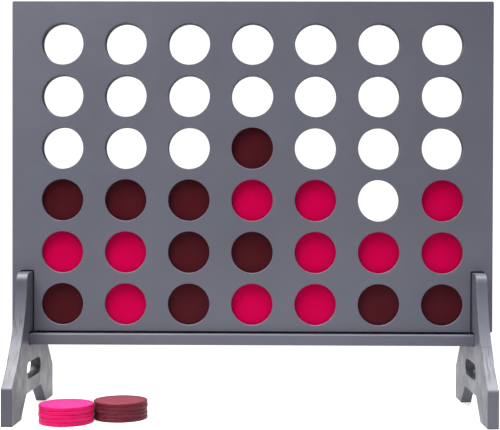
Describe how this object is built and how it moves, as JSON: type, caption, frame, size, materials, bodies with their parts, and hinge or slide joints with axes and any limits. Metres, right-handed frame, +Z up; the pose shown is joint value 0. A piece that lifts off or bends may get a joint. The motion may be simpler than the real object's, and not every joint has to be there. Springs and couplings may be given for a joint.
{
  "type": "giant four in a row game",
  "caption": "Free-standing hollow game board with round viewing holes, two slotted legs, a sliding release bar and loose round discs.",
  "frame": {"origin": "on the floor, under the middle of the board and of the legs", "axes": "+X along the board, to the right of a player who faces it; +Y from the player through the board; +Z up"},
  "size_m": [0.9372, 0.344, 0.801],
  "materials": {
    "leg_paint": "satin painted",
    "board_paint": "satin painted",
    "divider_paint": "satin painted",
    "bar_paint": "satin painted",
    "pink_disc": "matte",
    "burgundy_disc": "matte",
    "screw_steel": "satin"
  },
  "bodies": {
    "stand": {"left_leg": "leg_paint", "right_leg": "leg_paint"},
    "board": {"front_panel": "board_paint", "rear_panel": "board_paint", "left_end_divider": "divider_paint", "divider_1": "divider_paint", "divider_2": "divider_paint", "divider_3": "divider_paint", "divider_4": "divider_paint", "divider_5": "divider_paint", "divider_6": "divider_paint", "right_end_divider": "divider_paint", "left_end_divider_screw_low": "screw_steel", "left_end_divider_screw_high": "screw_steel", "divider_1_screw_low": "screw_steel", "divider_1_screw_high": "screw_steel", "divider_2_screw_low": "screw_steel", "divider_2_screw_high": "screw_steel", "divider_3_screw_low": "screw_steel", "divider_3_screw_high": "screw_steel", "divider_4_screw_low": "screw_steel", "divider_4_screw_high": "screw_steel", "divider_5_screw_low": "screw_steel", "divider_5_screw_high": "screw_steel", "divider_6_screw_low": "screw_steel", "divider_6_screw_high": "screw_steel", "right_end_divider_screw_low": "screw_steel", "right_end_divider_screw_high": "screw_steel"},
    "release_bar": {"release_bar": "bar_paint"},
    "burgundy_disc_column_1_row_1": {"burgundy_disc_column_1_row_1": "burgundy_disc"},
    "pink_disc_column_1_row_2": {"pink_disc_column_1_row_2": "pink_disc"},
    "burgundy_disc_column_1_row_3": {"burgundy_disc_column_1_row_3": "burgundy_disc"},
    "pink_disc_column_2_row_1": {"pink_disc_column_2_row_1": "pink_disc"},
    "pink_disc_column_2_row_2": {"pink_disc_column_2_row_2": "pink_disc"},
    "burgundy_disc_column_2_row_3": {"burgundy_disc_column_2_row_3": "burgundy_disc"},
    "burgundy_disc_column_3_row_1": {"burgundy_disc_column_3_row_1": "burgundy_disc"},
    "burgundy_disc_column_3_row_2": {"burgundy_disc_column_3_row_2": "burgundy_disc"},
    "burgundy_disc_column_3_row_3": {"burgundy_disc_column_3_row_3": "burgundy_disc"},
    "pink_disc_column_4_row_1": {"pink_disc_column_4_row_1": "pink_disc"},
    "burgundy_disc_column_4_row_2": {"burgundy_disc_column_4_row_2": "burgundy_disc"},
    "pink_disc_column_4_row_3": {"pink_disc_column_4_row_3": "pink_disc"},
    "burgundy_disc_column_4_row_4": {"burgundy_disc_column_4_row_4": "burgundy_disc"},
    "pink_disc_column_5_row_1": {"pink_disc_column_5_row_1": "pink_disc"},
    "pink_disc_column_5_row_2": {"pink_disc_column_5_row_2": "pink_disc"},
    "pink_disc_column_5_row_3": {"pink_disc_column_5_row_3": "pink_disc"},
    "burgundy_disc_column_6_row_1": {"burgundy_disc_column_6_row_1": "burgundy_disc"},
    "pink_disc_column_6_row_2": {"pink_disc_column_6_row_2": "pink_disc"},
    "burgundy_disc_column_7_row_1": {"burgundy_disc_column_7_row_1": "burgundy_disc"},
    "pink_disc_column_7_row_2": {"pink_disc_column_7_row_2": "pink_disc"},
    "pink_disc_column_7_row_3": {"pink_disc_column_7_row_3": "pink_disc"},
    "pink_stack_disc_1": {"pink_stack_disc_1": "pink_disc"},
    "pink_stack_disc_2": {"pink_stack_disc_2": "pink_disc"},
    "pink_stack_disc_3": {"pink_stack_disc_3": "pink_disc"},
    "pink_stack_disc_4": {"pink_stack_disc_4": "pink_disc"},
    "pink_stack_disc_5": {"pink_stack_disc_5": "pink_disc"},
    "burgundy_stack_disc_1": {"burgundy_stack_disc_1": "burgundy_disc"},
    "burgundy_stack_disc_2": {"burgundy_stack_disc_2": "burgundy_disc"},
    "burgundy_stack_disc_3": {"burgundy_stack_disc_3": "burgundy_disc"},
    "burgundy_stack_disc_4": {"burgundy_stack_disc_4": "burgundy_disc"},
    "burgundy_stack_disc_5": {"burgundy_stack_disc_5": "burgundy_disc"}
  },
  "joints": [
    {"name": "board_lift", "type": "slide", "parent": "stand", "child": "board", "axis": [0, 0, 1], "range_m": [0, 0.12]},
    {"name": "release_bar_slide", "type": "slide", "parent": "stand", "child": "release_bar", "axis": [1, 0, 0], "range_m": [-0.885, 0.885]},
    {"name": "burgundy_disc_column_1_row_3_lift", "type": "slide", "parent": "pink_disc_column_1_row_2", "child": "burgundy_disc_column_1_row_3", "axis": [0, 0, 1], "range_m": [0, 0.445]},
    {"name": "burgundy_disc_column_2_row_3_lift", "type": "slide", "parent": "pink_disc_column_2_row_2", "child": "burgundy_disc_column_2_row_3", "axis": [0, 0, 1], "range_m": [0, 0.445]},
    {"name": "burgundy_disc_column_3_row_3_lift", "type": "slide", "parent": "burgundy_disc_column_3_row_2", "child": "burgundy_disc_column_3_row_3", "axis": [0, 0, 1], "range_m": [0, 0.445]},
    {"name": "burgundy_disc_column_4_row_4_lift", "type": "slide", "parent": "pink_disc_column_4_row_3", "child": "burgundy_disc_column_4_row_4", "axis": [0, 0, 1], "range_m": [0, 0.343]},
    {"name": "pink_disc_column_5_row_3_lift", "type": "slide", "parent": "pink_disc_column_5_row_2", "child": "pink_disc_column_5_row_3", "axis": [0, 0, 1], "range_m": [0, 0.445]},
    {"name": "pink_disc_column_6_row_2_lift", "type": "slide", "parent": "burgundy_disc_column_6_row_1", "child": "pink_disc_column_6_row_2", "axis": [0, 0, 1], "range_m": [0, 0.546]},
    {"name": "pink_disc_column_7_row_3_lift", "type": "slide", "parent": "pink_disc_column_7_row_2", "child": "pink_disc_column_7_row_3", "axis": [0, 0, 1], "range_m": [0, 0.445]},
    {"name": "pink_stack_disc_5_lift", "type": "slide", "parent": "pink_stack_disc_4", "child": "pink_stack_disc_5", "axis": [0, -0.5, 0.866], "range_m": [0, 0.25]},
    {"name": "burgundy_stack_disc_5_lift", "type": "slide", "parent": "burgundy_stack_disc_4", "child": "burgundy_stack_disc_5", "axis": [0, -0.5, 0.866], "range_m": [0, 0.25]},
    {"name": "burgundy_disc_column_1_row_1_lift", "type": "slide", "parent": "stand", "child": "burgundy_disc_column_1_row_1", "axis": [0, 0, 1], "range_m": [0, 0.648]},
    {"name": "pink_disc_column_1_row_2_lift", "type": "slide", "parent": "burgundy_disc_column_1_row_1", "child": "pink_disc_column_1_row_2", "axis": [0, 0, 1], "range_m": [0, 0.546]},
    {"name": "pink_disc_column_2_row_1_lift", "type": "slide", "parent": "stand", "child": "pink_disc_column_2_row_1", "axis": [0, 0, 1], "range_m": [0, 0.648]},
    {"name": "pink_disc_column_2_row_2_lift", "type": "slide", "parent": "pink_disc_column_2_row_1", "child": "pink_disc_column_2_row_2", "axis": [0, 0, 1], "range_m": [0, 0.546]},
    {"name": "burgundy_disc_column_3_row_1_lift", "type": "slide", "parent": "stand", "child": "burgundy_disc_column_3_row_1", "axis": [0, 0, 1], "range_m": [0, 0.648]},
    {"name": "burgundy_disc_column_3_row_2_lift", "type": "slide", "parent": "burgundy_disc_column_3_row_1", "child": "burgundy_disc_column_3_row_2", "axis": [0, 0, 1], "range_m": [0, 0.546]},
    {"name": "pink_disc_column_4_row_1_lift", "type": "slide", "parent": "stand", "child": "pink_disc_column_4_row_1", "axis": [0, 0, 1], "range_m": [0, 0.648]},
    {"name": "burgundy_disc_column_4_row_2_lift", "type": "slide", "parent": "pink_disc_column_4_row_1", "child": "burgundy_disc_column_4_row_2", "axis": [0, 0, 1], "range_m": [0, 0.546]},
    {"name": "pink_disc_column_4_row_3_lift", "type": "slide", "parent": "burgundy_disc_column_4_row_2", "child": "pink_disc_column_4_row_3", "axis": [0, 0, 1], "range_m": [0, 0.445]},
    {"name": "pink_disc_column_5_row_1_lift", "type": "slide", "parent": "stand", "child": "pink_disc_column_5_row_1", "axis": [0, 0, 1], "range_m": [0, 0.648]},
    {"name": "pink_disc_column_5_row_2_lift", "type": "slide", "parent": "pink_disc_column_5_row_1", "child": "pink_disc_column_5_row_2", "axis": [0, 0, 1], "range_m": [0, 0.546]},
    {"name": "burgundy_disc_column_6_row_1_lift", "type": "slide", "parent": "stand", "child": "burgundy_disc_column_6_row_1", "axis": [0, 0, 1], "range_m": [0, 0.648]},
    {"name": "burgundy_disc_column_7_row_1_lift", "type": "slide", "parent": "stand", "child": "burgundy_disc_column_7_row_1", "axis": [0, 0, 1], "range_m": [0, 0.648]},
    {"name": "pink_disc_column_7_row_2_lift", "type": "slide", "parent": "burgundy_disc_column_7_row_1", "child": "pink_disc_column_7_row_2", "axis": [0, 0, 1], "range_m": [0, 0.546]},
    {"name": "pink_stack_disc_1_lift", "type": "slide", "parent": "stand", "child": "pink_stack_disc_1", "axis": [0, -0.5, 0.866], "range_m": [0, 0.25]},
    {"name": "pink_stack_disc_2_lift", "type": "slide", "parent": "pink_stack_disc_1", "child": "pink_stack_disc_2", "axis": [0, -0.5, 0.866], "range_m": [0, 0.25]},
    {"name": "pink_stack_disc_3_lift", "type": "slide", "parent": "pink_stack_disc_2", "child": "pink_stack_disc_3", "axis": [0, -0.5, 0.866], "range_m": [0, 0.25]},
    {"name": "pink_stack_disc_4_lift", "type": "slide", "parent": "pink_stack_disc_3", "child": "pink_stack_disc_4", "axis": [0, -0.5, 0.866], "range_m": [0, 0.25]},
    {"name": "burgundy_stack_disc_1_lift", "type": "slide", "parent": "stand", "child": "burgundy_stack_disc_1", "axis": [0, -0.5, 0.866], "range_m": [0, 0.25]},
    {"name": "burgundy_stack_disc_2_lift", "type": "slide", "parent": "burgundy_stack_disc_1", "child": "burgundy_stack_disc_2", "axis": [0, -0.5, 0.866], "range_m": [0, 0.25]},
    {"name": "burgundy_stack_disc_3_lift", "type": "slide", "parent": "burgundy_stack_disc_2", "child": "burgundy_stack_disc_3", "axis": [0, -0.5, 0.866], "range_m": [0, 0.25]},
    {"name": "burgundy_stack_disc_4_lift", "type": "slide", "parent": "burgundy_stack_disc_3", "child": "burgundy_stack_disc_4", "axis": [0, -0.5, 0.866], "range_m": [0, 0.25]}
  ]
}
